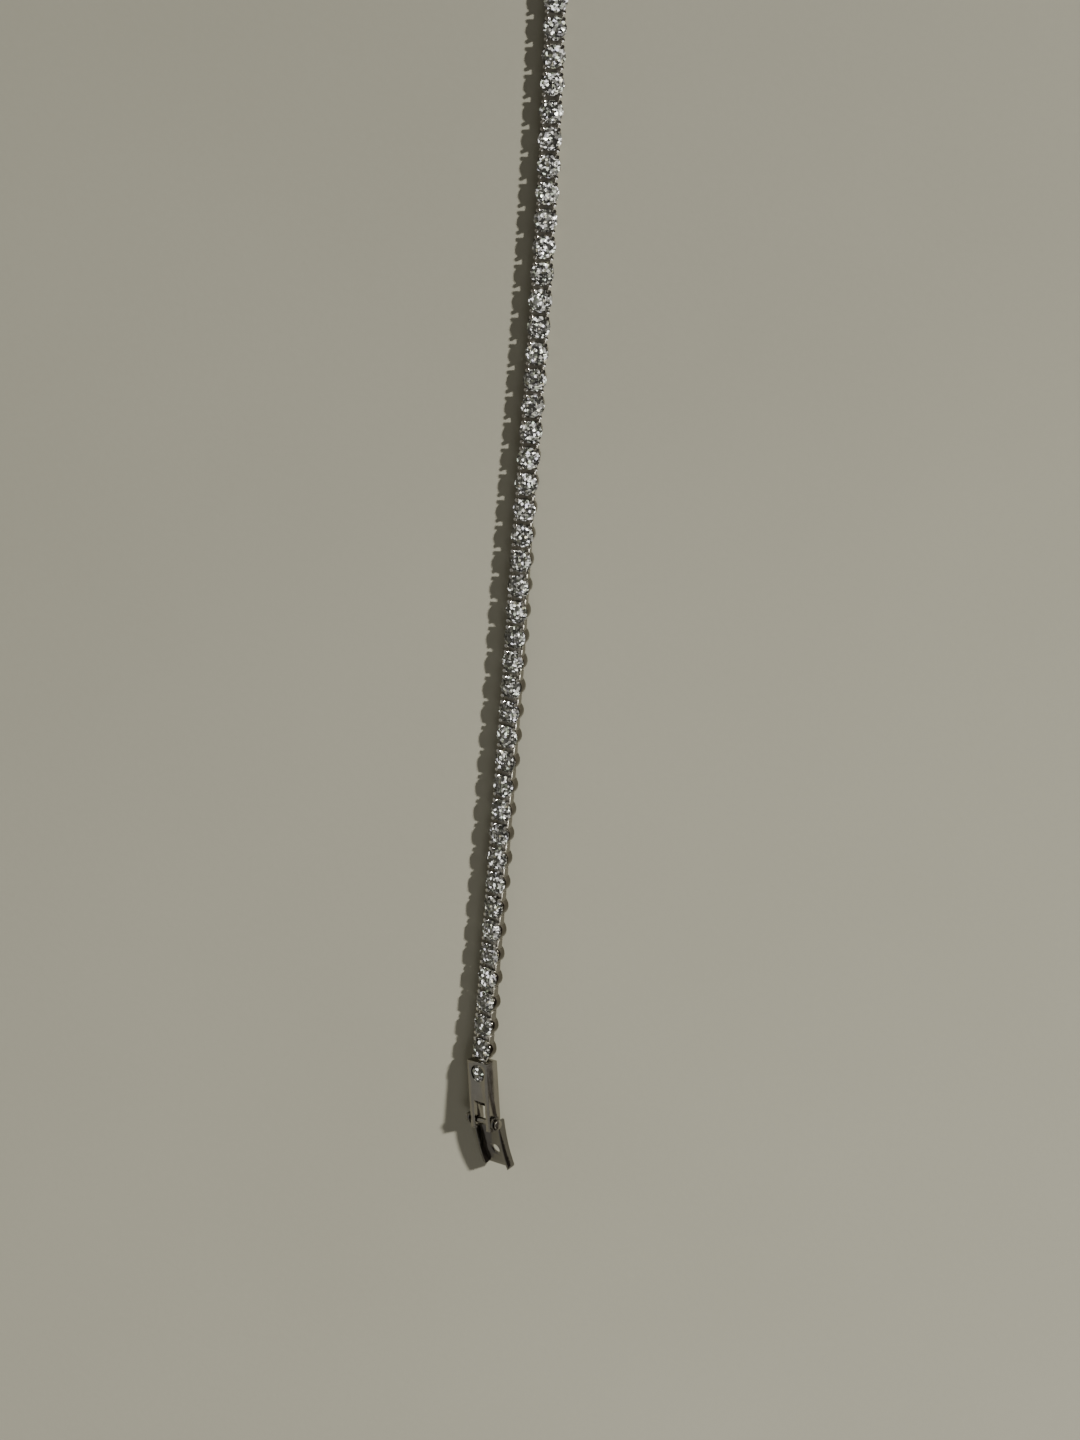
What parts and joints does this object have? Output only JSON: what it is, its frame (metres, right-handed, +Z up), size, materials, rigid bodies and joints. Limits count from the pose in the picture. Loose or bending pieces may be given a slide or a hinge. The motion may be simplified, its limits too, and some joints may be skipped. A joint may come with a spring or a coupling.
{
  "type": "tennis bracelet",
  "caption": "White-metal line bracelet of hinged four-prong baskets with round stones, laid open, with a box clasp, fold-over lever and plain tongue.",
  "frame": {"origin": "middle of the laid-out bracelet's outline, on the surface it lies on", "axes": "+Z up from the surface, +Y along the row towards the tongue, the clasp at -Y"},
  "size_m": [0.0136, 0.1882, 0.0051],
  "materials": {
    "row_near_clasp": "polished white metal baskets with clear stones",
    "row_far_end": "polished white metal baskets with clear stones",
    "clasp_box": "polished white metal",
    "clasp_stone": "clear cut stone",
    "clasp_lever": "polished white metal",
    "lever_pin": "polished white metal",
    "end_tongue": "polished white metal"
  },
  "bodies": {
    "bracelet": {"row_near_clasp": "row_near_clasp", "row_far_end": "row_far_end", "clasp_box": "clasp_box", "clasp_stone": "clasp_stone", "lever_pin": "lever_pin", "end_tongue": "end_tongue"},
    "lever": {"clasp_lever": "clasp_lever"}
  },
  "joints": [
    {"name": "lever_hinge", "type": "hinge", "parent": "bracelet", "child": "lever", "pos_m": [-0.00449, -0.08711, 0.00288], "axis": [-0.7233, -0.1081, -0.682], "range_deg": [0, 192]}
  ]
}
